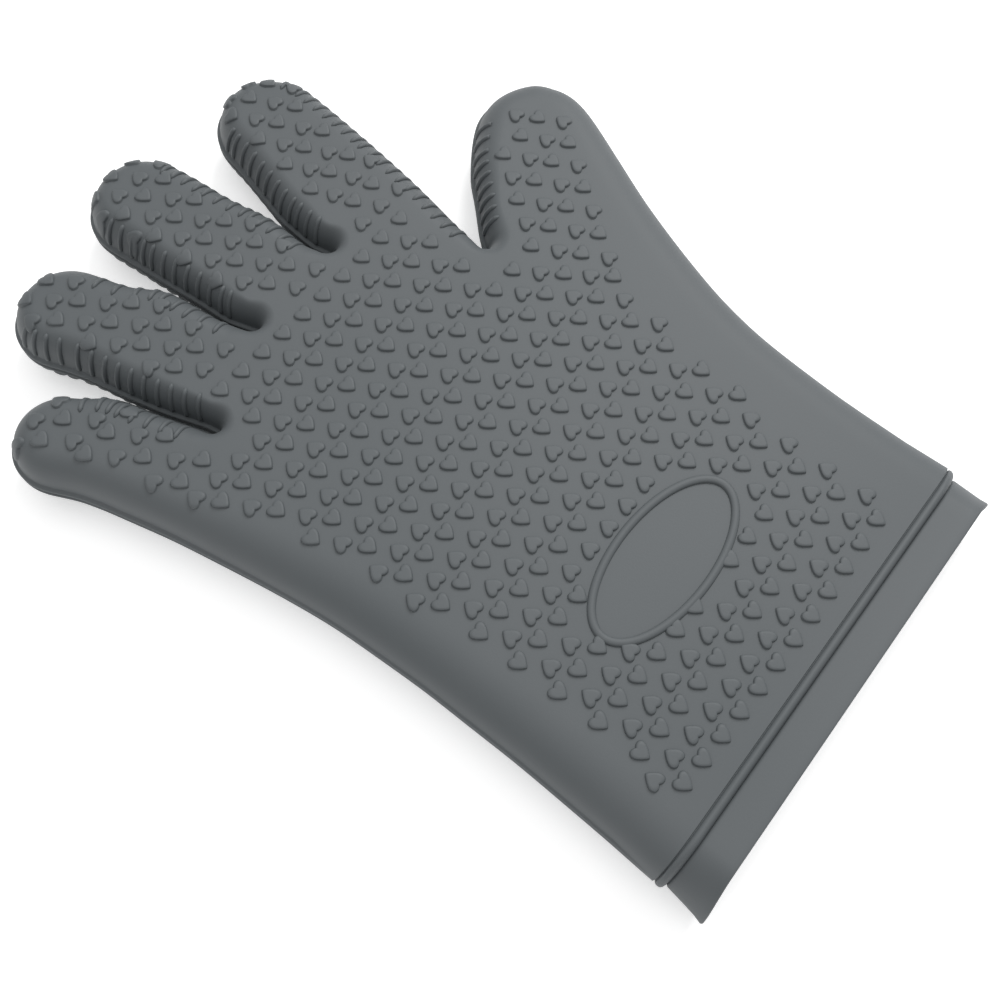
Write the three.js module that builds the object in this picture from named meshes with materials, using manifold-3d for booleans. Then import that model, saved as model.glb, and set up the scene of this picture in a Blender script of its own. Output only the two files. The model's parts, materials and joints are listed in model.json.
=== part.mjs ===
// Moulded silicone kitchen glove, lying flat with its palm side up. Millimetres, +Z up.
// +Y points from the mouth to the fingertips, +X points to the thumb side.
// The origin is at the bottom centre of the whole glove.
import * as THREE from 'three';
import * as BufferGeometryUtils from 'three/addons/utils/BufferGeometryUtils.js';
import Module from 'manifold-3d';

const wasm = await Module();
wasm.setup();

// Driving dimensions
const THICKNESS = 25.2;          // outside, back side to palm side
const WALL = 1.8;                // silicone wall
const EDGE_ROUNDING = 11;        // how far in from the outline the rounded edge reaches
const ROUNDING_STEPS = 3;
const EDGE_FLAT = 2;             // height of the upright part of the edge at mid thickness
const MOUTH_Y = -1.4;            // where the open end lies on the outline below
const BAND_LENGTH = 10.9;        // plain band at the mouth
const BAND_STEP = 0.8;           // the band is smaller than the hand by this much all round
const BEAD_LENGTH = 2.7;         // bead between the band and the hand
const PIECE_GAP = 0.3;           // clearance between neighbouring shells
const BEND_LIMIT = 60;           // degrees that each knuckle bends
const NOTCH_SPARE = 1;           // degrees of spare room on each side of a knuckle notch
const RING_CENTRE = [-5.7, 60.8];
const RING_RADII = [30.4, 14.7]; // outside of the oval ring, across and along the glove
const RING_WIDTH = 2.6;
const RING_HEIGHT = 1.0;
const RING_CHAMFER = 0.2;
const FAR = 400;                 // longer than the glove, for cutting boxes

const MID_Z = THICKNESS / 2;
const BAND_END = MOUTH_Y + BAND_LENGTH;
const HAND_START = BAND_END + BEAD_LENGTH;

// Each digit has a round tip, and two knuckles measured back from the tip's centre.
// Lean is in degrees from +Y, positive towards the thumb side.
const DIGITS = {
  little: { tip: [-85.6, 218.6], radius: 15.2, lean: -21.7, arc: [201.7, 21.7],
    knuckles: [29, 5], reach: 18.5 },
  ring: { tip: [-55, 249.3], radius: 16.5, lean: -16, arc: [196, 16],
    knuckles: [41, 9], reach: 18.2 },
  middle: { tip: [-11.4, 260.6], radius: 17.8, lean: -5.5, arc: [185.5, 5.5],
    knuckles: [45, 13], reach: 19.3 },
  index: { tip: [39, 250.5], radius: 18.5, lean: 8.6, arc: [171.4, -8.6],
    knuckles: [38, 8], reach: 21 },
  thumb: { tip: [94.2, 182.9], radius: 18.3, lean: 33, arc: [130, -26],
    knuckles: [26, 2], reach: 34 },
};

// The glove's outline at mid thickness, clockwise from the mouth on the little finger's side.
// Straight and curved sides run between the round fingertips.
const SIDES = {
  outerHand: [[-74.2, -30], [-74.2, 12], [-73.6, 60], [-75.8, 120], [-79, 140], [-83, 160],
    [-87.7, 180], [-91.8, 197]],
  littleToRing: [[-68.3, 219], [-64.7, 208.3], [-60.3, 196.5], [-54.8, 189.2], [-53.2, 187.8],
    [-53, 189.6], [-56.2, 196], [-62.8, 218.3], [-67.6, 236]],
  ringToMiddle: [[-35.5, 240.3], [-31.2, 228.3], [-24.6, 206], [-23.6, 202.4], [-22.8, 201.2],
    [-22.5, 202.6], [-23.6, 207], [-26.2, 220.3], [-28.4, 245.3]],
  middleToIndex: [[8.6, 242.3], [11, 222.8], [12, 206], [12.3, 203.2], [12.6, 206],
    [14.7, 222.3], [17.6, 238]],
  indexToThumb: [[56.7, 240.3], [53.7, 215.3], [49.6, 190.3], [46.2, 170.6], [46.6, 168],
    [49, 171.4], [67, 188.6]],
  thumbToMouth: [[104.4, 158.3], [94.7, 138.3], [86.8, 118.3], [79.6, 98.3], [75.5, 80.3],
    [73.6, 50], [73.9, 12], [73.9, -30]],
};

const GREY = new THREE.MeshStandardMaterial({ color: 0x6b7173, roughness: 0.55, metalness: 0 });
const radians = THREE.MathUtils.degToRad;
const glove = new THREE.Group();

// ---- solids ---------------------------------------------------------------------------

function toSolid(geometry) {
  const plain = geometry.clone();
  plain.deleteAttribute('normal');
  plain.deleteAttribute('uv');
  const merged = BufferGeometryUtils.mergeVertices(plain, 1e-4);
  return new wasm.Manifold(new wasm.Mesh({
    numProp: 3,
    vertProperties: new Float32Array(merged.attributes.position.array),
    triVerts: new Uint32Array(merged.index.array),
  }));
}

function addPart(name, solid) {
  const mesh = solid.getMesh();
  const geometry = new THREE.BufferGeometry();
  geometry.setAttribute('position', new THREE.BufferAttribute(mesh.vertProperties, 3));
  geometry.setIndex(new THREE.BufferAttribute(mesh.triVerts, 1));
  const part = new THREE.Mesh(geometry, GREY);
  part.name = name;
  glove.add(part);
}

function boxBetween(low, high) {
  const size = high.map((value, i) => value - low[i]);
  const box = new THREE.BoxGeometry(...size);
  box.translate(...high.map((value, i) => (value + low[i]) / 2));
  return box;
}

// ---- outline --------------------------------------------------------------------------

function arcPoints({ tip, radius, arc }, steps) {
  const points = [];
  for (let i = 0; i <= steps; i += 1) {
    const angle = radians(arc[0] + (arc[1] - arc[0]) * (i / steps));
    points.push([tip[0] + radius * Math.cos(angle), tip[1] + radius * Math.sin(angle)]);
  }
  return points;
}

function outlinePoints() {
  const tipSteps = 10;
  return [
    ...SIDES.outerHand, ...arcPoints(DIGITS.little, tipSteps),
    ...SIDES.littleToRing, ...arcPoints(DIGITS.ring, tipSteps),
    ...SIDES.ringToMiddle, ...arcPoints(DIGITS.middle, tipSteps),
    ...SIDES.middleToIndex, ...arcPoints(DIGITS.index, tipSteps),
    ...SIDES.indexToThumb, ...arcPoints(DIGITS.thumb, tipSteps),
    ...SIDES.thumbToMouth,
  ];
}

// A closed pillow on the outline, smaller than the glove's outside by inset on every side.
function pillow(inset) {
  const shape = new THREE.Shape(outlinePoints().map(([x, y]) => new THREE.Vector2(x, y)));
  const rounding = EDGE_ROUNDING - inset;
  const geometry = new THREE.ExtrudeGeometry(shape, {
    depth: EDGE_FLAT,
    bevelThickness: (THICKNESS - EDGE_FLAT) / 2 - inset,
    bevelSize: rounding,
    bevelOffset: -rounding - inset,
    bevelSegments: ROUNDING_STEPS,
  });
  geometry.translate(0, 0, MID_Z - EDGE_FLAT / 2);
  return toSolid(geometry);
}

function sliceAlongY(solid, start, end) {
  return solid.intersect(toSolid(boxBetween([-FAR, start, -FAR], [FAR, end, FAR])));
}

// ---- digits ---------------------------------------------------------------------------

// Moves a geometry made in a digit's own axes (x across, y towards the tip) into the glove.
function placeOnDigit(geometry, digit, back) {
  const lean = radians(digit.lean);
  geometry.rotateZ(-lean);
  geometry.translate(digit.tip[0] - back * Math.sin(lean), digit.tip[1] - back * Math.cos(lean), 0);
  return toSolid(geometry);
}

// Everything on the digit from a knuckle to past the tip.
function beyondKnuckle(digit, back, margin) {
  const low = [-digit.reach, margin, -FAR];
  return placeOnDigit(boxBetween(low, [digit.reach, FAR / 4, FAR]), digit, back);
}

// A wedge with its edge on the knuckle's axis, which leaves room on the palm side to bend.
function knuckleNotch(digit, back) {
  const height = THICKNESS;
  const halfWidth = height * Math.tan(radians(BEND_LIMIT / 2 + NOTCH_SPARE));
  const wedge = new THREE.Shape([
    new THREE.Vector2(0, 0),
    new THREE.Vector2(halfWidth, height),
    new THREE.Vector2(-halfWidth, height),
  ]);
  const across = 2 * digit.reach;
  const geometry = new THREE.ExtrudeGeometry(wedge, { depth: across, bevelEnabled: false });
  geometry.translate(0, 0, -across / 2);
  const alongDigit = new THREE.Vector3(0, 1, 0);
  const up = new THREE.Vector3(0, 0, 1);
  const acrossDigit = new THREE.Vector3(1, 0, 0);
  geometry.applyMatrix4(new THREE.Matrix4().makeBasis(alongDigit, up, acrossDigit));
  geometry.translate(0, 0, MID_Z);
  return placeOnDigit(geometry, digit, back);
}

// ---- sub-parts ------------------------------------------------------------------------

function addHalves(name, solid) {
  const half = PIECE_GAP / 2;
  const palmSide = toSolid(boxBetween([-FAR, -FAR, MID_Z + half], [FAR, FAR, FAR]));
  const backSide = toSolid(boxBetween([-FAR, -FAR, -FAR], [FAR, FAR, MID_Z - half]));
  addPart(`${name}_palm_side`, solid.intersect(palmSide));
  addPart(`${name}_back_side`, solid.intersect(backSide));
}

function addCuff(skin) {
  const band = pillow(BAND_STEP).subtract(pillow(BAND_STEP + WALL));
  addHalves('cuff_band', sliceAlongY(band, MOUTH_Y, BAND_END));
  addHalves('cuff_bead', sliceAlongY(skin, BAND_END + PIECE_GAP, HAND_START));
}

function addHand(skin) {
  let hand = sliceAlongY(skin, HAND_START + PIECE_GAP, FAR);
  for (const digit of Object.values(DIGITS)) {
    const root = digit.knuckles[0];
    hand = hand.subtract(beyondKnuckle(digit, root, -PIECE_GAP / 2));
    hand = hand.subtract(knuckleNotch(digit, root));
  }
  addHalves('hand', hand);
}

function addDigit(name, digit, skin) {
  const [root, middle] = digit.knuckles;
  const notch = knuckleNotch(digit, middle);
  const base = skin.intersect(beyondKnuckle(digit, root, PIECE_GAP / 2))
    .subtract(beyondKnuckle(digit, middle, -PIECE_GAP / 2))
    .subtract(knuckleNotch(digit, root))
    .subtract(notch);
  const tip = skin.intersect(beyondKnuckle(digit, middle, PIECE_GAP / 2)).subtract(notch);
  addHalves(`${name}_base`, base);
  addHalves(`${name}_tip`, tip);
}

function ovalPath(pathClass, inset) {
  const path = new pathClass();
  path.absellipse(...RING_CENTRE, RING_RADII[0] - inset, RING_RADII[1] - inset, 0, 2 * Math.PI);
  return path;
}

function addOvalRing() {
  const shape = ovalPath(THREE.Shape, RING_CHAMFER);
  shape.holes.push(ovalPath(THREE.Path, RING_WIDTH - RING_CHAMFER));
  const geometry = new THREE.ExtrudeGeometry(shape, {
    depth: RING_HEIGHT - PIECE_GAP - 2 * RING_CHAMFER,
    bevelThickness: RING_CHAMFER,
    bevelSize: RING_CHAMFER,
    bevelSegments: 1,
    curveSegments: 24,
  });
  geometry.translate(0, 0, THICKNESS + PIECE_GAP + RING_CHAMFER);
  addPart('oval_ring', toSolid(geometry));
}

// Puts the origin at the bottom centre of the finished glove.
function centreGlove() {
  const box = new THREE.Box3().setFromObject(glove);
  const centre = box.getCenter(new THREE.Vector3());
  glove.position.set(-centre.x, -centre.y, -box.min.z);
}

const skin = pillow(0).subtract(pillow(WALL));
addHand(skin);
addCuff(skin);
addOvalRing();
for (const [name, digit] of Object.entries(DIGITS)) {
  addDigit(name, digit, skin);
}
centreGlove();

export default glove;
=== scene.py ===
import bpy
import json
import math
import numpy as np
from mathutils import Matrix, Vector
from mathutils.geometry import delaunay_2d_cdt


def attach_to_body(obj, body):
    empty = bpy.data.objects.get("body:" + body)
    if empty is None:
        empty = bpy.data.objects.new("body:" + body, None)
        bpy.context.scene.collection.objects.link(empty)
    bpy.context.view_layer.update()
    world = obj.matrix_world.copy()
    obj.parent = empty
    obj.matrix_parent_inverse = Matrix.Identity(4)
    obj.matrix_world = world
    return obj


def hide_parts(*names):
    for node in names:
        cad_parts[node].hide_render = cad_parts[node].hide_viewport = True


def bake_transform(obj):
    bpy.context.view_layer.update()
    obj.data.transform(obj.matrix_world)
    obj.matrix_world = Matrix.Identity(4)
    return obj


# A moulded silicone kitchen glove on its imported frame. Lengths are in millimetres until a
# mesh is made. Outline places use the glove's own plan, which SHIFT moves to the frame.

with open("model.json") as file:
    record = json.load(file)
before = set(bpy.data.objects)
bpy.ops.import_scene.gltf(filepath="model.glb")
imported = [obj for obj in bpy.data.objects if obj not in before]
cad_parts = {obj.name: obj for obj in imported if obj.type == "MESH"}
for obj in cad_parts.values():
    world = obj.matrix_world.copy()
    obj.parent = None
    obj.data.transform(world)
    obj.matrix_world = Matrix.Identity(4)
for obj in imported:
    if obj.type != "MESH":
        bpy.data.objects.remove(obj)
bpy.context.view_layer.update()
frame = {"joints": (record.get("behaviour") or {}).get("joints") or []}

MM = 0.001

# ---- driving dimensions ----------------------------------------------------------------

MOUTH_Y = -1.4            # the open end
BAND_END = 9.5            # end of the plain band at the mouth
HAND_START = 12.6         # where the hand's skin begins, past the bead
SKIN_TOP = 25.2
SKIN_BOTTOM = 0.9         # grip hearts lift the skin off the table by about this much
WALL = 1.8
BAND_INSET = 1.0          # where the band leaves the bead; it flares to the mouth
BAND_FLARE = 1.3
BAND_ROUNDING = 14        # the band's section thins to its two creased sides
BAND_SQUARE = 1.7
BAND_SAG = 4              # how far the creases drop at the mouth
BAND_REACH = 2.6          # how far the creases reach past it
HEART_PITCH = 8.78        # across the glove, between hearts of one row
ROW_PITCH = 6.62          # between rows, which point up and down in turn
FIRST_ROW = 19.6
HEART_SIZE = (5.4, 5.2)
HEART_HEIGHT = 0.85
RIB_WIDTH = 1.6
RIB_HEIGHT = 0.85
LIP_REACH = 0.7           # how far the lip stands out from the side, and more on the fingers
LIP_FINGER_REACH = 0.4
RING_CENTRE = (-5.7, 60.8)
RING_RADII = (30.4, 14.7)
RING_WIDTH = 2.6
RING_HEIGHT = 1.1
RING_CLEARANCE = 0.3      # no heart's centre is closer to the ring than this

HALF = (SKIN_TOP - SKIN_BOTTOM) / 2
MID_Z = (SKIN_TOP + SKIN_BOTTOM) / 2

# Each digit: the centre and radius of its round tip, its lean from +Y in degrees, the arc of
# the tip, how far back from the tip's centre its two knuckles are, and half the length of the
# skin that bends at each.
DIGITS = {
    "little": dict(tip=(-85.6, 218.6), radius=15.2, lean=-21.7, arc=(201.7, 21.7),
                   knuckles=(29, 5), bends=(10.8, 10)),
    "ring": dict(tip=(-55, 249.3), radius=16.5, lean=-16, arc=(196, 16),
                 knuckles=(41, 9), bends=(12.5, 12)),
    "middle": dict(tip=(-11.4, 260.6), radius=17.8, lean=-5.5, arc=(185.5, 5.5),
                   knuckles=(45, 13), bends=(12, 12)),
    "index": dict(tip=(39, 250.5), radius=18.5, lean=8.6, arc=(171.4, -8.6),
                  knuckles=(38, 8), bends=(12, 12)),
    "thumb": dict(tip=(94.2, 182.9), radius=18.3, lean=33, arc=(130, -26),
                  knuckles=(26, 2), bends=(12, 11)),
}

# The outline at the parting line, clockwise from the mouth on the little finger's side. Next
# to the palm two neighbouring fingers all but touch.
SIDES = {
    "outer_hand": [(-74.2, HAND_START), (-73.6, 60), (-75.8, 120), (-79, 140), (-83, 160),
                   (-87.7, 180), (-91.8, 197)],
    "little_to_ring": [(-68.4, 221.6), (-65.2, 218.2), (-61.1, 205), (-56.3, 191.8),
                       (-55.2, 187.9), (-54.6, 187), (-54.3, 187.8), (-55, 191.9),
                       (-59.9, 205.4), (-63.6, 219), (-65.1, 227), (-67.6, 236)],
    "ring_to_middle": [(-35, 241.4), (-31.2, 236.4), (-28.2, 231.4), (-27, 222),
                       (-26, 212.9), (-23.8, 206.4), (-22.8, 202.7), (-22.2, 201.9),
                       (-21.9, 202.8), (-22.8, 206), (-25, 212.7), (-25.7, 222),
                       (-26.9, 231.4), (-27.9, 239), (-28.4, 245.3)],
    "middle_to_index": [(8.9, 243), (10.6, 235), (12, 226), (11.8, 220), (11.2, 211.3),
                        (12.2, 207.2), (12.6, 204.2), (13.2, 203.2), (13.6, 204.2),
                        (13.2, 207.3), (12.3, 211.2), (12.9, 220.2), (13.4, 226), (14.8, 231),
                        (17.4, 241)],
    "index_to_thumb": [(56.7, 240.3), (53.7, 215.3), (50.3, 190.3), (48.4, 179),
                       (46.9, 170.6), (46, 166.6), (47, 168.2), (52.6, 174.9), (67, 188.6)],
    "thumb_to_mouth": [(104.4, 158.3), (94.7, 138.3), (86.8, 118.3), (79.6, 98.3),
                       (75.5, 80.3), (73.6, 50), (73.9, HAND_START)],
}
# The bottom of each gap between two digits.
CROTCHES = [(-54.6, 187), (-22.2, 201.9), (13.2, 203.2), (46, 166.6)]

# Near each place on the outline: how far in the rounded edge reaches, how square its section
# is, the bare margin inside it that no heart's centre enters, and how far the soft side
# bulges past the outline.
EDGES = {
    "outer_hand": [
        ((-74, 13), 15, 2.1, 17.2, 0.9), ((-74, 27), 15, 2.1, 17.2, 0.4),
        ((-74, 73), 15, 2.0, 16.6, 0.1), ((-74, 91), 15, 2.0, 16.2, -0.3),
        ((-74, 115), 15, 2.0, 16.0, 0.4), ((-79, 140), 14, 2.0, 15.0, 0.4),
        ((-83, 160), 13, 2.0, 12.5, 0.4), ((-86, 175), 11, 2.1, 9.5, 0.1),
        ((-91, 192), 10.5, 2.1, 8.5, 0.6),
    ],
    "little_tip": [
        ((-97, 207), 10, 2.1, 8.0, -0.6), ((-100, 216), 9, 2.1, 5.0, -0.2),
        ((-94, 231), 8.5, 2.0, 2.5, 1.7), ((-75, 228), 8, 2.0, 4.0, 1.0),
    ],
    "little_to_ring": [
        ((-68, 218), 7.5, 2.0, 5.0, 0.6), ((-62, 204), 7.0, 2.0, 5.5, 0.2),
        ((-57, 191), 8.5, 2.0, 7.0, 0.2), ((-54.6, 186), 6.0, 2.0, 8.5, 0),
        ((-53.5, 191), 3.6, 2.0, 7.0, 0.2), ((-58, 206), 6.5, 2.0, 5.5, 0.2),
        ((-66, 237), 7.5, 2.0, 5.5, 0),
    ],
    "ring_tip": [
        ((-65, 262), 8.5, 2.0, 2.5, 1.5), ((-52, 266), 8.5, 2.0, 2.5, 0.6),
        ((-43, 260), 8.5, 2.0, 6.5, 0.8),
    ],
    "ring_to_middle": [
        ((-37, 240), 9, 2.0, 8.5, 0.6), ((-29, 228), 8, 2.0, 8.5, 0.2),
        ((-28, 213), 7, 2.0, 8.0, 0.2), ((-25, 206), 9, 2.0, 9.0, 0.2),
        ((-22.2, 201), 6.0, 2.0, 9.0, 0), ((-21, 206), 3.6, 2.0, 3.4, 0.2),
        ((-23.5, 214), 6.5, 2.0, 3.4, 0.2), ((-26, 245), 7.5, 2.0, 4.5, -0.4),
    ],
    "middle_tip": [
        ((-24, 271), 8.5, 2.0, 2.5, 1.3), ((-11, 278), 8.5, 2.0, 2.5, 0.8),
        ((3, 271), 8.5, 2.0, 2.5, 0.5),
    ],
    "middle_to_index": [
        ((7, 252), 9, 2.0, 8.5, 0.7), ((8, 236), 8.5, 2.0, 9.0, -0.5),
        ((9.5, 220), 7.5, 2.0, 9.0, 0.2), ((10, 208), 9, 2.0, 9.0, 0.2),
        ((13.2, 202), 6.0, 2.0, 9.0, 0), ((15.5, 207), 3.6, 2.0, 6.0, 0.2),
        ((15.5, 218), 7, 2.0, 5.0, 0.2), ((18, 237), 7.5, 2.0, 5.5, 0.2),
        ((21, 252), 8, 2.0, 5.0, 0.5),
    ],
    "index_tip": [
        ((32, 268), 8.5, 2.0, 2.5, 3.2), ((41, 270), 8.5, 2.0, 2.5, 3.0),
        ((50, 266), 8.5, 2.0, 2.5, 1.0),
    ],
    "index_to_thumb": [
        ((57, 250), 9, 2.0, 8.0, 0.1), ((55, 228), 9.5, 2.0, 9.5, 0.7),
        ((51, 200), 9, 2.0, 10.0, 0.8), ((48, 181), 9.5, 2.0, 12.0, 0),
        ((46, 166), 7, 2.0, 13.0, 0), ((50, 171), 6.5, 2.0, 12.5, 0.1),
        ((57, 178), 6, 2.0, 7.0, 0.1), ((65, 186), 8, 2.0, 6.5, 0.8),
    ],
    "thumb_tip": [
        ((79, 198), 9.5, 2.1, 11.0, 3.8), ((92, 202), 10, 2.1, 14.5, 2.7),
        ((102, 199), 11, 2.1, 13.0, 1.4), ((112, 183), 12, 2.1, 12.0, 3.0),
    ],
    "thumb_to_mouth": [
        ((104, 158), 12.5, 2.1, 15.5, 1.0), ((95, 138), 13, 2.1, 21.0, 0.7),
        ((86.8, 118), 13.5, 2.1, 26.0, 0.8), ((75, 80), 13.5, 2.1, 26.0, 1.4),
        ((74, 13), 13.5, 2.1, 26.0, 1.1),
    ],
}

# Ribbed stretches: the gap that they are in, which side of it (-1 before the gap, clockwise),
# the y of the first and the last rib, how many.
RIBS = [
    ("little_to_ring", -1, 224, 194.5, 8), ("little_to_ring", 1, 193.6, 252.1, 14),
    ("ring_to_middle", -1, 248.6, 209.4, 9), ("ring_to_middle", 1, 211.6, 260, 12),
    ("middle_to_index", -1, 262.4, 211, 13), ("middle_to_index", 1, 210.4, 258.2, 12),
    ("index_to_thumb", -1, 258.5, 173.5, 20), ("index_to_thumb", 1, 172, 199, 9),
]


def digit_axis(digit):
    """The direction in plan that a digit points in."""
    lean = math.radians(digit["lean"])
    return np.array([math.sin(lean), math.cos(lean)])


def knuckle_point(digit, back):
    """The point on a digit's middle line at a distance back from its tip's centre."""
    return np.array(digit["tip"]) - back * digit_axis(digit)


def plan_shift():
    """The plan's origin in the frame, from where the frame puts the middle finger's hinge."""
    for joint in frame["joints"]:
        if joint["name"] == "middle_root_knuckle":
            place = np.array(joint["pos_m"][:2]) / MM
            digit = DIGITS["middle"]
            return place - knuckle_point(digit, digit["knuckles"][0])
    raise RuntimeError("the frame has no hinge at the middle finger's root")


SHIFT = plan_shift()


def to_frame(points):
    """Plan millimetres to frame metres."""
    points = np.array(points, float)
    points[:, :2] += SHIFT
    return points * MM


# ---- outline ---------------------------------------------------------------------------

OUTLINE_STEP = 0.2
PALM_SIDE = 72            # the long sides of the hand lie outside this, to left and right
SIDE_SPREAD = 7.0         # how far the outline is smoothed along them
SMOOTHING_REACH = 110     # points on each side that smoothing looks at
SAMPLE_STEPS = (0.16, 1.15)   # between samples, by a gap and far from one
STRAIGHT_CUFF = 25        # length by the mouth over which smoothing fades out
STRAIGHT_END = 30         # the sides run straight up to here


def dense_line(points):
    """Points about an outline step apart along the straight stretches."""
    out = []
    for a, b in zip(points[:-1], points[1:]):
        count = max(1, int(math.dist(a, b) / OUTLINE_STEP))
        for i in range(count):
            t = i / count
            out.append((a[0] + (b[0] - a[0]) * t, a[1] + (b[1] - a[1]) * t))
    out.append(points[-1])
    return out


def tip_arc(digit):
    """The round end of a digit, clockwise."""
    angles = np.radians(np.linspace(*digit["arc"], 60))
    x = digit["tip"][0] + digit["radius"] * np.cos(angles)
    y = digit["tip"][1] + digit["radius"] * np.sin(angles)
    return list(zip(x, y))


def arc_length(points):
    """Distance of each point from the first, along the line."""
    steps = np.linalg.norm(np.diff(points, axis=0), axis=1)
    return np.concatenate([[0], np.cumsum(steps)])


def even_line(points, step):
    """The same line with its points a step apart."""
    length = arc_length(points)
    at = np.linspace(0, length[-1], int(length[-1] / step))
    return np.c_[np.interp(at, length, points[:, 0]), np.interp(at, length, points[:, 1])]


def near_crotch(points):
    """Distance from each point to the closest gap between two digits."""
    gaps = np.array(CROTCHES)
    return np.linalg.norm(points[:, None] - gaps[None], axis=2).min(axis=1)


def rough_outline():
    """The named sides joined by the round tips, as evenly spaced points."""
    *between, last = SIDES
    rough = []
    for side, digit in zip(between, DIGITS.values()):
        rough += SIDES[side] + tip_arc(digit)
    rough += SIDES[last]
    return even_line(np.array(dense_line(rough)), OUTLINE_STEP)


def smoothing_spread(points):
    """How far along the outline each point is averaged: little by a gap, far on the sides."""
    x, y = points[:, 0], points[:, 1]
    gap = near_crotch(points)
    spread = np.clip(0.2 * gap, 0.35, 2.6)
    thumb_side = (x > PALM_SIDE) & (y < 160 + 0.3 * x)
    little_side = (x < -PALM_SIDE) & (y < 205)
    spread[thumb_side | little_side] = SIDE_SPREAD
    spread = np.convolve(np.pad(spread, 20, mode="edge"), np.ones(41) / 41, mode="valid")
    return np.minimum(spread, np.maximum(0.25 * gap, 0.35))


def smooth_outline():
    """The outline averaged along itself, except next to the mouth."""
    points = rough_outline()
    length, spread = arc_length(points), smoothing_spread(points)
    smooth = points.copy()
    for i in range(len(points)):
        low, high = max(0, i - SMOOTHING_REACH), min(len(points), i + SMOOTHING_REACH + 1)
        weight = np.exp(-((length[low:high] - length[i]) ** 2) / (2 * spread[i] ** 2))
        smooth[i] = (points[low:high] * weight[:, None]).sum(axis=0) / weight.sum()
    number = np.arange(len(points))
    to_mouth = np.minimum(number, number[::-1]) * OUTLINE_STEP
    hold = np.clip(1 - to_mouth / STRAIGHT_CUFF, 0, 1)[:, None]
    return smooth * (1 - hold) + points * hold


def pick_samples(points):
    """Samples a millimetre or so apart, and much closer round the gaps between digits."""
    gap = np.clip(0.1 * near_crotch(points), *SAMPLE_STEPS)
    density = np.concatenate([[0], np.cumsum(OUTLINE_STEP / gap[1:])])
    count = int(density[-1])
    at = np.linspace(0, density[-1], count)
    return np.c_[np.interp(at, density, points[:, 0]), np.interp(at, density, points[:, 1])]


def inward_normals(points):
    """Unit directions into the glove, straight across it where the cuff is straight."""
    tangent = np.gradient(points, axis=0)
    tangent /= np.linalg.norm(tangent, axis=1)[:, None]
    normal = np.c_[tangent[:, 1], -tangent[:, 0]]
    straight = points[:, 1] < STRAIGHT_END
    normal[straight] = np.c_[-np.sign(points[straight, 0]), np.zeros(straight.sum())]
    return normal


def average_along(points, values, spread):
    """Each value averaged with its neighbours along the outline."""
    length = arc_length(points)
    share = np.gradient(length)
    even = np.empty_like(values)
    for i in range(len(points)):
        weight = np.exp(-((length - length[i]) ** 2) / (2 * spread[i] ** 2)) * share
        even[i] = (values * weight[:, None]).sum(axis=0) / weight.sum()
    return even


def even_normals(points):
    """The inward normals averaged along the outline, so that no two of them cross."""
    spread = np.clip(0.35 * near_crotch(points), 1.2, 3.5)
    even = average_along(points, inward_normals(points), spread)
    return even / np.linalg.norm(even, axis=1)[:, None]


def edge_values(points):
    """Rounding, squareness, bare margin and bulge at each sample."""
    length = arc_length(points)
    at, values = [], []
    for stretch in EDGES.values():
        for place, *edge in stretch:
            nearest = np.linalg.norm(points - np.array(place), axis=1).argmin()
            at.append(length[nearest])
            values.append(edge)
    order = np.argsort(at)
    at, values = np.array(at)[order], np.array(values)[order]
    along = np.stack([np.interp(length, at, values[:, k]) for k in range(4)], axis=1)
    return average_along(points, along, np.clip(0.3 * near_crotch(points), 0.3, 4.5)).T


def bulged_samples():
    """Samples where the soft sides stand, with the rounding, squareness and margin there."""
    samples = pick_samples(smooth_outline())
    rounding, square, margin, bulge = edge_values(samples)
    return samples - inward_normals(samples) * bulge[:, None], rounding, square, margin


SAMPLES, ROUNDING, SQUARE, MARGIN = bulged_samples()
INWARD = even_normals(SAMPLES)


# ---- surface ---------------------------------------------------------------------------

POINTS_AT_ONCE = 2000


def lip_reach(points):
    """How far the lip at the parting line stands out from the side that it runs along."""
    finger = np.clip((points[:, 1] - 140) / 40, 0, 1)
    cuff = np.clip((points[:, 1] - HAND_START) / 14, 0, 1)
    return (LIP_REACH + LIP_FINGER_REACH * finger) * (0.1 + 0.9 * cuff)


LIP = lip_reach(SAMPLES)


def section_height(inset, rounding, square):
    """Height above mid thickness at a distance in from the foot of the side."""
    t = np.clip(1 - inset / rounding, 0, 1)
    return HALF * (1 - t ** square) ** (1 / square)


def section_inset(height, rounding, square):
    """The distance in at which the side reaches a height."""
    t = np.clip(height / HALF, 0, 1)
    return rounding * (1 - (1 - t ** square) ** (1 / square))


def swell(points, inset):
    """Slow, shallow unevenness of the broad faces, in millimetres."""
    x, y = points[:, 0], points[:, 1]
    wave = np.sin(x / 19 + 0.6) * np.cos(y / 27 - 0.4) + 0.6 * np.sin((x + y) / 33)
    return 0.16 * wave * np.clip((inset - 12) / 14, 0, 1) * np.clip((y - 16) / 20, 0, 1)


def nearest_sample(points):
    """Number of the sample closest to each plan point, and how far away it is."""
    found, distance = [], []
    for start in range(0, len(points), POINTS_AT_ONCE):
        block = points[start:start + POINTS_AT_ONCE]
        d = np.linalg.norm(block[:, None] - SAMPLES[None], axis=2)
        found.append(d.argmin(axis=1))
        distance.append(d.min(axis=1))
    return np.concatenate(found), np.concatenate(distance)


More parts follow.
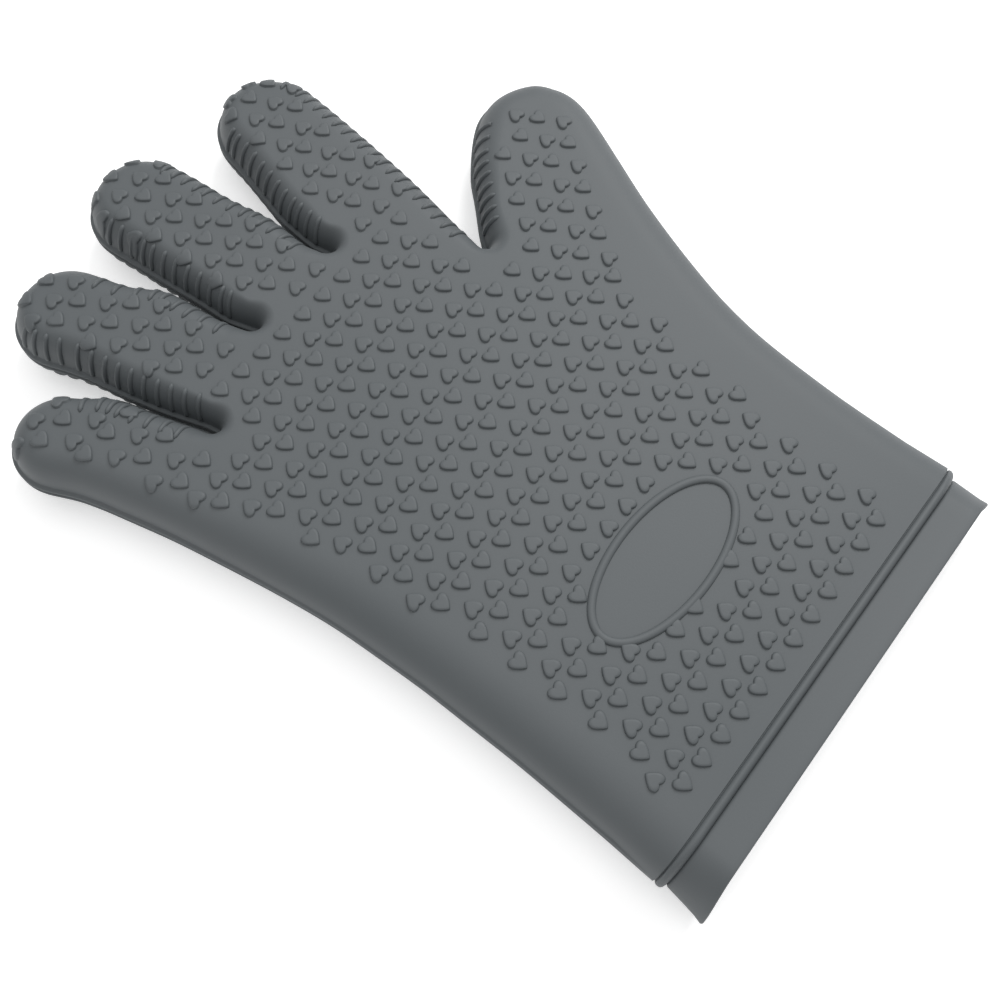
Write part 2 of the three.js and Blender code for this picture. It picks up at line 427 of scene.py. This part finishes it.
def surface(points):
    """Height above mid thickness, and outward normal, of the palm side at plan points."""
    near, distance = nearest_sample(points)
    rounding, square = ROUNDING[near], SQUARE[near]
    inset = np.maximum(distance - LIP[near], 0.05)
    height = section_height(inset, rounding, square) + swell(points, distance)
    t = np.clip(1 - inset / rounding, 0, 1)
    slope = t ** (square - 1) / rounding
    rise = np.clip(height / HALF, 0.02, 1) ** (square - 1) / HALF
    outward = -INWARD[near]
    normal = np.c_[outward * slope[:, None], rise]
    return height, normal / np.linalg.norm(normal, axis=1)[:, None]


# ---- skin ------------------------------------------------------------------------------

LIP_LEVELS = [0.0, 0.4, 0.7, 1.0, 1.4, 1.75, 2.0, 2.5]        # above the parting line
LIP_SHAPE = [0.2, 0.3, 0.8, 1.0, 1.0, 0.75, 0.15, 0.0]        # of the lip's whole reach
EDGE_STEPS = 10
CAP_STEP = 2.6


def ring_stack(rounding, square, lip, foot):
    """Distance in and height of each ring, from the parting line up to the broad face."""
    stack = []
    for level, shape in zip(LIP_LEVELS, LIP_SHAPE):
        stack.append((foot + section_inset(level, rounding, square) - shape * lip, level))
    first = math.asin((LIP_LEVELS[-1] / HALF) ** (float(np.mean(square)) / 2))
    for step in range(1, EDGE_STEPS):
        angle = first + (math.pi / 2 - first) * step / EDGE_STEPS
        power = 2 / square
        height = HALF * math.sin(angle) ** power
        stack.append((foot + rounding * (1 - math.cos(angle) ** power), height))
    stack.append((foot + rounding, HALF))
    return stack


def ring_points(with_lip):
    """The rings of the palm side's rounded edge, as points."""
    lip = LIP if with_lip else 0 * LIP
    rings = []
    for inset, height in ring_stack(ROUNDING, SQUARE, lip, LIP):
        rings.append(np.c_[SAMPLES + INWARD * inset[:, None], height + 0 * inset])
    return rings


def cap_mesh(loop):
    """Fills the broad face inside a closed loop; the loop's points come first."""
    low, high = loop.min(axis=0), loop.max(axis=0)
    grid = []
    row = 0
    y = low[1] + CAP_STEP * 0.6
    while y < high[1]:
        x = low[0] + (CAP_STEP / 2 if row % 2 else 0)
        while x < high[0]:
            grid.append((x, y))
            x += CAP_STEP
        y += CAP_STEP * 0.866
        row += 1
    grid = np.array(grid)
    near, inset = nearest_sample(grid)
    inside = points_inside(grid, loop)
    clear = inset > ROUNDING[near] + LIP[near] + 0.55 * CAP_STEP
    grid = grid[inside & clear & (grid[:, 1] > low[1] + 1.2)]
    points = [Vector(p) for p in np.vstack([loop, grid])]
    count = len(loop)
    result = delaunay_2d_cdt(points, [], [list(range(count))], 1, 1e-5)
    faces, origin = result[2], result[3]
    index = [o[0] if o else None for o in origin]
    if None in index:
        raise RuntimeError("the broad face's loop crosses itself")
    return grid, [[index[v] for v in face] for face in faces]


def points_inside(points, loop):
    """Which plan points lie inside a closed loop."""
    inside = np.zeros(len(points), bool)
    x, y = points[:, 0], points[:, 1]
    for a, b in zip(loop, np.roll(loop, -1, axis=0)):
        crosses = (a[1] > y) != (b[1] > y)
        with np.errstate(divide="ignore", invalid="ignore"):
            at = a[0] + (y - a[1]) * (b[0] - a[0]) / (b[1] - a[1])
        inside ^= crosses & (x < at)
    return inside


def vertex_normals(points, faces):
    """Unit normals at the points, weighted by the areas of the faces that meet there."""
    normals = np.zeros_like(points)
    for size in (3, 4):
        block = np.array([f for f in faces if len(f) == size])
        if len(block) == 0:
            continue
        a = points[block[:, 0]]
        b = points[block[:, 1]]
        c = points[block[:, 2]]
        flat = np.cross(b - a, c - a)
        if size == 4:
            flat = np.cross(c - a, points[block[:, 3]] - b)
        for corner in range(size):
            np.add.at(normals, block[:, corner], flat)
    return normals / np.maximum(np.linalg.norm(normals, axis=1), 1e-12)[:, None]


def build_skin():
    """Outer points, inner points, outward normals of both, and the shared faces."""
    outer_stack, plain_stack = ring_points(True), ring_points(False)
    count = len(SAMPLES)
    left, right = plain_stack[-1][0], plain_stack[-1][-1]
    across = np.arange(right[0] - CAP_STEP, left[0] + 1, -CAP_STEP)
    straight = np.c_[across, np.full(len(across), left[1])]
    loop = np.vstack([plain_stack[-1][:, :2], straight])
    grid, cap_faces = cap_mesh(loop)
    extra = np.vstack([straight, grid])
    inset = nearest_sample(extra)[1]
    extra = np.c_[extra, HALF + swell(extra, inset)]

    def both_sides(stack):
        upper = np.vstack(stack + [extra])
        lower = np.vstack(stack[1:] + [extra]).copy()
        lower[:, 2] *= -1
        return np.vstack([upper, lower])

    outer, plain = both_sides(outer_stack), both_sides(plain_stack)
    rings = len(outer_stack)
    upper_total = rings * count + len(extra)

    def upper_index(ring, i):
        return ring * count + i

    def lower_index(ring, i):
        return i if ring == 0 else upper_total + (ring - 1) * count + i

    faces = []
    for ring in range(rings - 1):
        for i in range(count - 1):
            faces.append((upper_index(ring, i), upper_index(ring + 1, i),
                          upper_index(ring + 1, i + 1), upper_index(ring, i + 1)))
            faces.append((lower_index(ring, i), lower_index(ring, i + 1),
                          lower_index(ring + 1, i + 1), lower_index(ring + 1, i)))
    top = (rings - 1) * count
    lower_top = upper_total + (rings - 2) * count
    for face in cap_faces:
        turned = orient_up(face, loop, grid)
        faces.append(tuple(v + top for v in turned))
        faces.append(tuple(v + lower_top for v in reversed(turned)))
    plain_normals = vertex_normals(plain, faces)
    inner = plain - WALL * plain_normals
    return outer, inner, vertex_normals(outer, faces), plain_normals, faces


def orient_up(face, loop, grid):
    """The face's points in the order that makes it face up."""
    count = len(loop)
    a, b, c = [loop[v] if v < count else grid[v - count] for v in face[:3]]
    area = (b[0] - a[0]) * (c[1] - a[1]) - (b[1] - a[1]) * (c[0] - a[0])
    return list(face) if area > 0 else list(reversed(face))


# ---- regions ---------------------------------------------------------------------------

def crotch_samples():
    """The sample at the very bottom of each gap between two digits."""
    found = []
    for place in CROTCHES:
        close = np.flatnonzero(np.linalg.norm(SAMPLES - np.array(place), axis=1) < 2)
        found.append(close[SAMPLES[close, 1].argmin()])
    return found


def region_names(points):
    """Which piece of skin each plan point belongs to: the nearest digit's, or the hand's."""
    names = np.full(len(points), "hand", dtype=object)
    nearest = np.searchsorted(crotch_samples(), nearest_sample(points)[0])
    for number, (name, digit) in enumerate(DIGITS.items()):
        forward = (points - np.array(digit["tip"])) @ digit_axis(digit)
        root, middle = digit["knuckles"]
        mine = (nearest == number) & (forward > -(root + digit["bends"][0]))
        names[mine] = name + "_base"
        names[mine & (forward > -(middle + digit["bends"][1]))] = name + "_tip"
    return names


def attach(piece, region):
    """Rides on the hand; a digit's piece only has its transform baked, and the two ends of the
    skin that bends at its knuckle are found but not used.
    """
    if region == "hand":
        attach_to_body(piece, "hand")
        return
    name, part = region.rsplit("_", 1)
    digit = DIGITS[name]
    which = 0 if part == "base" else 1
    back, half = digit["knuckles"][which], digit["bends"][which] - 0.6
    start = to_frame([[*knuckle_point(digit, back + half), MID_Z]])[0]
    end = to_frame([[*knuckle_point(digit, back - half), MID_Z]])[0]
    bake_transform(piece)


# ---- meshes ----------------------------------------------------------------------------

def make_mesh(name, points, faces, corner_normals=None):
    """A smooth silicone piece from plan points whose heights are from mid thickness."""
    points = np.array(points, float)
    points[:, 2] += MID_Z
    mesh = bpy.data.meshes.new(name)
    mesh.from_pydata([tuple(p) for p in to_frame(points)], [], [tuple(f) for f in faces])
    mesh.polygons.foreach_set("use_smooth", [True] * len(mesh.polygons))
    mesh.update()
    if corner_normals is not None:
        mesh.normals_split_custom_set([tuple(n) for n in corner_normals])
    piece = bpy.data.objects.new(name, mesh)
    bpy.context.collection.objects.link(piece)
    mesh.materials.append(SILICONE)
    return piece


def boundary_edges(faces):
    """The edges that only one face uses, in that face's direction."""
    seen = {}
    for face in faces:
        for a, b in zip(face, face[1:] + face[:1]):
            if (b, a) in seen:
                del seen[(b, a)]
            else:
                seen[(a, b)] = True
    return list(seen)


def skin_piece(name, chosen, skin):
    """One closed hollow shell: outside, inside, and the cut walls between them."""
    outer, inner, outer_normals, inner_normals, _ = skin
    used = sorted({v for face in chosen for v in face})
    place = {v: i for i, v in enumerate(used)}
    count = len(used)
    outside = [tuple(place[v] for v in face) for face in chosen]
    faces, normals = [], []
    for face in outside:
        faces.append(face)
        normals += [outer_normals[used[v]] for v in face]
    for face in outside:
        faces.append(tuple(v + count for v in reversed(face)))
        normals += [-inner_normals[used[v]] for v in reversed(face)]
    points = np.vstack([outer[used], inner[used]])
    for a, b in boundary_edges(outside):
        wall = (b, a, a + count, b + count)
        flat = np.cross(points[a] - points[b], points[a + count] - points[b])
        size = np.linalg.norm(flat)
        faces.append(wall)
        normals += [flat / size if size > 0 else np.array([0, 0, 1.0])] * 4
    return make_mesh(name, points, faces, normals)


def add_skin():
    """The glove's skin, cut into one hollow piece for each body."""
    skin = build_skin()
    outer, faces = skin[0], skin[4]
    centres = np.array([outer[list(face)].mean(axis=0)[:2] for face in faces])
    names = region_names(centres)
    for region in sorted(set(names)):
        chosen = [faces[i] for i in np.flatnonzero(names == region)]
        piece = skin_piece(region + "_skin", chosen, skin)
        attach(piece, region)
        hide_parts(region + "_palm_side", region + "_back_side")


# ---- grip hearts -----------------------------------------------------------------------

HEART_SIDES = 24
HEART_COLUMN = 1.8        # where the columns of upward hearts start from
# How large the heart is, and how high it stands, from the foot to the crown.
HEART_LOOPS = [(1.06, -0.25), (1.05, 0.0), (1.0, 0.12), (0.97, 0.72), (0.9, 0.95), (0.6, 1.0)]


def heart_outline():
    """A blunt heart with a shallow cleft, its tip towards -Y."""
    t = np.linspace(0, 2 * math.pi, 10 * HEART_SIDES, endpoint=False)
    x = np.sign(np.sin(t)) * np.abs(np.sin(t)) ** (2.25 + 0.45 * np.cos(t))
    y = 12.8 * np.cos(t) - 4.4 * np.cos(2 * t) - 1.3 * np.cos(3 * t) - 0.6 * np.cos(4 * t)
    y -= (y.max() + y.min()) / 2
    outline = even_line(np.c_[x / np.ptp(x) * HEART_SIZE[0], y / np.ptp(y) * HEART_SIZE[1]], 0.04)
    blunt = sum(np.roll(outline, turn, axis=0) for turn in range(-7, 8)) / 15
    return blunt[np.linspace(0, len(blunt), HEART_SIDES, endpoint=False).astype(int)]


def palm_drift(points):
    """How far the hearts of the soft palm lie off their even rows, in millimetres."""
    x, y = points[:, 0] / 50, (points[:, 1] - 100) / 80
    return np.c_[1.6 * x * x - 1.7 + 0.5 * x * y - 0.5 * y + 1.5 * y * y,
                 1.3 * x * x - 0.6 - 0.7 * y]


# The same on each digit, from where its own rows begin: along the glove, then x and y. The
# thumb's rows are counted along a slant.
THUMB_SLANT = 0.65
DRIFT = {
    "little": [(172, -0.7, 1.1), (205, -3.6, 1.7), (212, -7.5, 1.2), (225, -9.6, 1.2)],
    "ring": [(195, -1.9, 2.7), (212, -2.9, 1.8), (231, -3.9, 1), (258, -5.8, 0.2)],
    "middle": [(195, 0.9, 0.7), (212, 0.7, 1.3), (238, 0.1, 0.4), (251, 0, -0.2),
               (271, -1.6, 0.3)],
    "index": [(195, 4.8, 1), (208, 5.4, 1.6), (213, 8.2, 2), (225, 9.9, 1.2),
              (238, 11.8, 1), (258, 14.2, 2)],
    "thumb": [(129, 0.2, 0), (160, 3.9, 1.9), (198, 8.4, 4.3), (215, 10.4, 5.4)],
}


def heart_drift(points):
    """How far each heart lies off its even row, on the palm and on the digits."""
    drift = palm_drift(points)
    nearest = np.searchsorted(crotch_samples(), nearest_sample(points)[0])
    for number, (name, rows) in enumerate(DRIFT.items()):
        along, dx, dy = np.array(rows).T
        place = points[:, 1]
        mine = nearest == number
        if name == "thumb":
            place = place + THUMB_SLANT * (points[:, 0] - 63)
            mine = points[:, 0] > 48
        mine = mine & (place > along[0])
        drift[mine] = np.c_[np.interp(place, along, dx), np.interp(place, along, dy)][mine]
    return drift


def heart_places():
    """Centres and directions of the hearts: one lattice runs over the palm and the digits."""
    places = []
    rows = int((SAMPLES[:, 1].max() - FIRST_ROW) / ROW_PITCH) + 1
    for row in range(rows):
        upward = row % 2 == 1
        start = HEART_COLUMN if upward else HEART_COLUMN + HEART_PITCH / 2
        for column in range(-14, 14):
            places.append((start + HEART_PITCH * column, FIRST_ROW + ROW_PITCH * row,
                           -1 if upward else 1))
    places = np.array(places, float)
    places[:, :2] += heart_drift(places[:, :2])
    near, inset = nearest_sample(places[:, :2])
    inside = points_inside(places[:, :2], SAMPLES)
    return places[inside & (inset > MARGIN[near])]


def in_ring(places):
    """Which places lie inside the oval ring or touch it."""
    across = (places[:, 0] - RING_CENTRE[0]) / (RING_RADII[0] + RING_CLEARANCE)
    along = (places[:, 1] - RING_CENTRE[1]) / (RING_RADII[1] + RING_CLEARANCE)
    return across ** 2 + along ** 2 < 1


def heart_points(outline, place, side):
    """The loops of one heart on the skin, then the middle of its crown and of its foot."""
    x, y, direction = place
    plan, lifts = [], []
    for scale, lift in HEART_LOOPS:
        plan += [(x + p[0] * scale, y + direction * p[1] * scale) for p in outline]
        lifts += [lift] * len(outline)
    plan = np.array(plan + [(x, y), (x, y)])
    lifts = np.array(lifts + [HEART_LOOPS[-1][1], HEART_LOOPS[0][1]])
    height, normal = surface(plan)
    stand = HEART_HEIGHT * np.clip(0.25 + 0.9 * normal[:, 2], 0.4, 1)
    solid = np.c_[plan, height] + normal * (lifts * stand)[:, None]
    if side < 0:
        solid[:, 2] = -np.minimum(solid[:, 2], MID_Z)
    return solid


def heart_faces(start, count, turn):
    """Faces of the heart whose points begin at start; turn -1 reverses them."""
    faces = []
    for loop in range(len(HEART_LOOPS) - 1):
        for i in range(count):
            j = (i + 1) % count
            a, b = start + loop * count + i, start + loop * count + j
            faces.append((a, b, b + count, a + count)[::turn])
    last = start + (len(HEART_LOOPS) - 1) * count
    crown = start + len(HEART_LOOPS) * count
    for i in range(count):
        j = (i + 1) % count
        faces.append((last + i, last + j, crown)[::turn])
        faces.append((start + j, start + i, crown + 1)[::turn])
    return faces


def heart_mesh(places, side):
    """All the hearts of one region, each a closed dome that follows the skin."""
    outline = heart_outline()
    points, faces = [], []
    for place in places:
        turn = -1 if place[2] * side > 0 else 1
        faces += heart_faces(len(points), len(outline), turn)
        points += list(heart_points(outline, place, side))
    return points, faces


# ---- ribs ------------------------------------------------------------------------------

RIB_STEPS = 14
RIB_SECTION = 10
RIB_REACH = {-1: 8.4, 1: 4.8}   # how far in they end, on the two sides of a gap
RIB_FADE = {-1: 6.5, 1: -3}     # how high up the side they begin to stand out


def rib_starts():
    """Sample number and side of the gap of every rib, from the ribbed stretches."""
    starts = []
    for side, half, first, last, count in RIBS:
        split = crotch_samples()[list(SIDES).index(side) - 1]
        span = np.arange(split, -1, -1) if half < 0 else np.arange(split, len(SAMPLES))
        stretch = span[:first_turn(SAMPLES[span, 1])]
        for y in np.linspace(first, last, count):
            starts.append((stretch[np.abs(SAMPLES[stretch, 1] - y).argmin()], half))
    return starts


def first_turn(values):
    """How many values rise before the first fall."""
    falls = np.flatnonzero(np.diff(values) < -0.01)
    return falls[0] if len(falls) else len(values)


def rib_path(sample, half):
    """Distance in and height along a rib's middle line, and its outward normals there."""
    rounding, square = ROUNDING[sample], SQUARE[sample]
    path = []
    for height in np.linspace(LIP_LEVELS[-1], HALF * 0.9, 7):
        path.append((section_inset(height, rounding, square), height))
    for inset in np.linspace(path[-1][0] + 0.4, RIB_REACH[half], 4):
        path.append((inset, section_height(inset, rounding, square)))
    path = np.array(path)
    length = arc_length(path)
    at = np.linspace(0, length[-1], RIB_STEPS)
    path = np.c_[np.interp(at, length, path[:, 0]), np.interp(at, length, path[:, 1])]
    along = np.gradient(path, axis=0)
    along /= np.linalg.norm(along, axis=1)[:, None]
    return path, np.c_[-along[:, 1], along[:, 0]]


def rib_mesh(sample, half, side):
    """A rounded rib that climbs the side from the lip onto the shoulder."""
    path, outward = rib_path(sample, half)
    inward = INWARD[sample]
    tangent = np.array([-inward[1], inward[0], 0])
    points, faces = [], []
    for step in range(RIB_STEPS):
        t = step / (RIB_STEPS - 1)
        taper = max(0.1, 1 - abs(2 * t - 1) ** 12) ** 0.5
        inset, height = path[step]
        stand = taper * min(1, max(0.06, (height - RIB_FADE[half]) / 4))
        centre = np.array([*(SAMPLES[sample] + inward * (inset + LIP[sample])), height])
        out = np.array([*(inward * outward[step][0]), outward[step][1]])
        for k in range(RIB_SECTION):
            angle = 2 * math.pi * k / RIB_SECTION
            wide = RIB_WIDTH / 2 * taper * math.cos(angle)
            high = RIB_HEIGHT * stand * math.sin(angle)
            points.append(centre + tangent * wide + out * high)
    for step in range(RIB_STEPS - 1):
        for k in range(RIB_SECTION):
            j = (k + 1) % RIB_SECTION
            a, b = step * RIB_SECTION + k, step * RIB_SECTION + j
            faces.append((a, b, b + RIB_SECTION, a + RIB_SECTION))
    faces.append(tuple(reversed(range(RIB_SECTION))))
    faces.append(tuple(range((RIB_STEPS - 1) * RIB_SECTION, RIB_STEPS * RIB_SECTION)))
    points = np.array(points)
    points[:, 2] *= side
    return points, [f[::-1] for f in faces] if side < 0 else faces


def add_grip():
    """The hearts and ribs of each body, a piece for each face of the glove."""
    places = heart_places()
    ribs = rib_starts()
    for side, side_name in ((1, "palm"), (-1, "back")):
        kept = places[~in_ring(places)] if side > 0 else places
        heart_regions = region_names(kept[:, :2])
        at = [sample for sample, _ in ribs]
        rib_regions = region_names(SAMPLES[at] + INWARD[at] * 3)
        for region in sorted(set(heart_regions)):
            points, faces = heart_mesh(kept[heart_regions == region], side)
            for which in np.flatnonzero(rib_regions == region):
                more, more_faces = rib_mesh(*ribs[which], side)
                start = len(points)
                points += list(more)
                faces += [tuple(v + start for v in face) for face in more_faces]
            piece = make_mesh(f"{region}_{side_name}_grip", points, faces)
            attach(piece, region)


# ---- cuff ------------------------------------------------------------------------------

MOUTH_RADIUS = 0.5        # of the band's outer edge at the mouth
TABLE_CLEARANCE = 0.3     # the band is held this far off the table


def cuff_section(rounding, square):
    """One closed section of the glove across its straight cuff: points and outward normals."""
    column = np.array(ring_stack(rounding, square, 0, LIP[0]))
    left, right = SAMPLES[0, 0] + column[:, 0], SAMPLES[-1, 0] - column[:, 0]
    across = left[-1] + (right[-1] - left[-1]) * np.linspace(0, 1, 40)[1:-1]
    upper = np.c_[np.concatenate([left, across, right[::-1]]),
                  np.concatenate([column[:, 1], 0 * across + HALF, column[::-1, 1]])]
    section = np.vstack([upper, upper[-2:0:-1] * np.array([1, -1])])
    around = np.roll(section, -1, axis=0) - np.roll(section, 1, axis=0)
    around /= np.linalg.norm(around, axis=1)[:, None]
    return section, np.c_[-around[:, 1], around[:, 0]]


def cuff_piece(name, profile):
    """Sweeps the section along a closed profile of (y, distance out from the skin)."""
    hand, hand_out = cuff_section(ROUNDING[0], SQUARE[0])
    band, band_out = cuff_section(BAND_ROUNDING, BAND_SQUARE)
    count = len(hand)
    points, faces = [], []
    for y, out in profile:
        share = np.clip((HAND_START - y) / (HAND_START - BAND_END), 0, 1)
        share = share * share * (3 - 2 * share)
        ring = (hand + hand_out * out) * (1 - share) + (band + band_out * out) * share
        side = np.minimum(ring[:, 0] - band[:, 0].min(), band[:, 0].max() - ring[:, 0])
        slack = np.clip((BAND_END - y) / (BAND_END - MOUTH_Y), 0, 1)
        crease = slack * np.clip(1 - side / BAND_ROUNDING, 0, 1) ** 2
        lowest = np.minimum(ring[:, 1], TABLE_CLEARANCE - MID_Z)
        level = np.maximum(ring[:, 1] - BAND_SAG * crease, lowest)
        points += list(np.c_[ring[:, 0], y - BAND_REACH * crease, level])
    rows = len(profile)
    for row in range(rows):
        following = (row + 1) % rows
        for i in range(count):
            j = (i + 1) % count
            faces.append((row * count + i, following * count + i,
                          following * count + j, row * count + j))
    return make_mesh(name, points, faces)


def arc_profile(y_low, y_high, base, height, steps):
    """A half-round ridge between two places along the glove."""
    middle, half = (y_low + y_high) / 2, (y_high - y_low) / 2
    points = []
    for i in range(steps + 1):
        angle = math.pi * i / steps
        points.append((middle - half * math.cos(angle), base + height * math.sin(angle)))
    return points


def add_cuff():
    """The band and the bead, each swept as one closed profile."""
    edge = BAND_FLARE - BAND_INSET
    lip = [(MOUTH_Y + MOUTH_RADIUS * (1 - math.cos(a)), edge - MOUTH_RADIUS * (1 - math.sin(a)))
           for a in np.linspace(0, math.pi / 2, 4)]
    side = [(MOUTH_Y + t * (BAND_END - 1.4 - MOUTH_Y), edge - BAND_FLARE * t ** 0.7)
            for t in (0.25, 0.5, 0.75, 1)]
    root = [(BAND_END - 0.7, -BAND_INSET - 0.1),
            (BAND_END - 0.25, -BAND_INSET - 0.45), (BAND_END, -BAND_INSET - 0.9)]
    inner = [(BAND_END, -BAND_INSET - WALL), (MOUTH_Y + 0.6, edge - WALL - 0.4),
             (MOUTH_Y, edge - WALL + 0.1)]
    band = cuff_piece("cuff_band_skin", lip + side + root + inner)
    bead = arc_profile(BAND_END + 0.15, HAND_START - 0.45, -0.75, 1.15, 8)
    outer = [(BAND_END, -1.6), (BAND_END, -0.95)] + bead
    outer += [(HAND_START - 0.25, -0.85), (HAND_START - 0.12, -0.45), (HAND_START, -0.2)]
    under = [(HAND_START, -WALL), (BAND_END, -WALL - 0.7)]
    bead_piece = cuff_piece("cuff_bead_skin", outer + under)
    for piece, node in ((band, "cuff_band"), (bead_piece, "cuff_bead")):
        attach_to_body(piece, "hand")
        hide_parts(node + "_palm_side", node + "_back_side")


# ---- oval ring -------------------------------------------------------------------------

def add_ring():
    """The raised oval frame on the palm side."""
    around, section = 120, 12
    middle = (RING_RADII[0] - RING_WIDTH / 2, RING_RADII[1] - RING_WIDTH / 2)
    points, faces = [], []
    for i in range(around):
        angle = 2 * math.pi * i / around
        centre = np.array([RING_CENTRE[0] + middle[0] * math.cos(angle),
                           RING_CENTRE[1] + middle[1] * math.sin(angle)])
        out = np.array([math.cos(angle) / middle[0], math.sin(angle) / middle[1]])
        out /= np.linalg.norm(out)
        for k in range(section):
            turn = 2 * math.pi * k / section
            wide = RING_WIDTH / 2 * math.copysign(abs(math.cos(turn)) ** 0.8, math.cos(turn))
            plan = centre + out * wide
            points.append((*plan, HALF + RING_HEIGHT * math.sin(turn)))
    for i in range(around):
        for k in range(section):
            a, b = i * section + k, i * section + (k + 1) % section
            c = ((i + 1) % around) * section
            faces.append((a, c + k, c + (k + 1) % section, b))
    piece = make_mesh("oval_ring_bead", points, [f[::-1] for f in faces])
    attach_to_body(piece, "hand")
    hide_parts("oval_ring")


# ---- material --------------------------------------------------------------------------

SILICONE_DARK = (0.097, 0.108, 0.114, 1)
SILICONE_PALE = (0.107, 0.117, 0.123, 1)
SILICONE_ROUGHNESS = (0.5, 0.62)
FLOOR_GLOW = 0.42


def silicone_material():
    """Matt grey rubber with a faint cloudiness and a fine grain."""
    material = bpy.data.materials.new("grey_silicone")
    material.use_nodes = True
    nodes, links = material.node_tree.nodes, material.node_tree.links
    shader = nodes["Principled BSDF"]
    shader.inputs["Roughness"].default_value = SILICONE_ROUGHNESS[0]
    shader.inputs["Specular IOR Level"].default_value = 0.36
    place = nodes.new("ShaderNodeTexCoord")
    cloud = nodes.new("ShaderNodeTexNoise")
    cloud.inputs["Scale"].default_value = 14
    cloud.inputs["Detail"].default_value = 3
    tint = nodes.new("ShaderNodeValToRGB")
    tint.color_ramp.elements[0].position = 0.3
    tint.color_ramp.elements[0].color = SILICONE_DARK
    tint.color_ramp.elements[1].position = 0.7
    tint.color_ramp.elements[1].color = SILICONE_PALE
    grain = nodes.new("ShaderNodeTexNoise")
    grain.inputs["Scale"].default_value = 1500
    grain.inputs["Detail"].default_value = 2
    gloss = nodes.new("ShaderNodeMapRange")
    gloss.inputs["To Min"].default_value = SILICONE_ROUGHNESS[0]
    gloss.inputs["To Max"].default_value = SILICONE_ROUGHNESS[1]
    bump = nodes.new("ShaderNodeBump")
    bump.inputs["Strength"].default_value = 0.12
    bump.inputs["Distance"].default_value = 0.0002
    links.new(place.outputs["Object"], cloud.inputs["Vector"])
    links.new(place.outputs["Object"], grain.inputs["Vector"])
    links.new(cloud.outputs["Fac"], tint.inputs["Fac"])
    links.new(tint.outputs["Color"], shader.inputs["Base Color"])
    links.new(grain.outputs["Fac"], bump.inputs["Height"])
    links.new(bump.outputs["Normal"], shader.inputs["Normal"])
    links.new(cloud.outputs["Fac"], gloss.inputs["Value"])
    links.new(gloss.outputs["Result"], shader.inputs["Roughness"])
    return material


def floor_material():
    """A pale floor that glows a little, so that shadows on it stay light."""
    material = bpy.data.materials.new("pale_floor")
    material.use_nodes = True
    shader = material.node_tree.nodes["Principled BSDF"]
    shader.inputs["Base Color"].default_value = (0.9, 0.9, 0.9, 1)
    shader.inputs["Roughness"].default_value = 0.9
    shader.inputs["Specular IOR Level"].default_value = 0.1
    shader.inputs["Emission Color"].default_value = (1, 1, 1, 1)
    shader.inputs["Emission Strength"].default_value = FLOOR_GLOW
    return material


# ---- stage -----------------------------------------------------------------------------

CAMERA_PLACE = (-118.9, 40.6, 313.3)
CAMERA_FORWARD = (0.3138, 0.2138, -0.9251)
CAMERA_RIGHT = (0.6257, -0.7794, 0.0321)
CAMERA_LENS = 39.65
FLOOR_HALF_SIDE = 12      # metres


def add_camera():
    """Above the little finger's side of the hand, looking down across the palm."""
    right = Vector(CAMERA_RIGHT)
    forward = Vector(CAMERA_FORWARD).normalized()
    right = (right - right.dot(forward) * forward).normalized()
    up = right.cross(forward)
    data = bpy.data.cameras.new("camera")
    data.sensor_width = 36
    data.lens = CAMERA_LENS
    camera = bpy.data.objects.new("camera", data)
    bpy.context.collection.objects.link(camera)
    turn = Matrix((right, up, -forward)).transposed().to_4x4()
    spot = to_frame([CAMERA_PLACE])[0]
    camera.matrix_world = Matrix.Translation(spot) @ turn
    data.clip_start, data.clip_end = 0.01, 20
    bpy.context.scene.camera = camera


def add_area_light(name, place, size, power):
    """A white disk lamp that points at the middle of the floor."""
    data = bpy.data.lights.new(name, "AREA")
    data.shape = "DISK"
    data.size = size
    data.energy = power
    light = bpy.data.objects.new(name, data)
    bpy.context.collection.objects.link(light)
    light.location = place
    light.rotation_mode = "QUATERNION"
    light.rotation_quaternion = (-Vector(place)).to_track_quat("-Z", "Y")


def add_stage():
    """The floor, two soft lamps and an even grey surround."""
    mesh = bpy.data.meshes.new("floor")
    side = FLOOR_HALF_SIDE
    mesh.from_pydata([(-side, -side, 0), (side, -side, 0), (side, side, 0), (-side, side, 0)],
                     [], [(0, 1, 2, 3)])
    floor = bpy.data.objects.new("floor", mesh)
    bpy.context.collection.objects.link(floor)
    mesh.materials.append(floor_material())
    add_area_light("key", (0.75, 0.10, 0.85), 0.7, 8)
    add_area_light("top", (-0.1, 0.1, 1.5), 1.6, 8)
    world = bpy.data.worlds.new("studio")
    world.use_nodes = True
    world.node_tree.nodes["Background"].inputs["Color"].default_value = (1, 1, 1, 1)
    world.node_tree.nodes["Background"].inputs["Strength"].default_value = 0.45
    bpy.context.scene.world = world
    bpy.context.scene.view_settings.view_transform = "Standard"


add_camera()
add_stage()
SILICONE = silicone_material()
add_skin()
add_grip()
add_cuff()
add_ring()
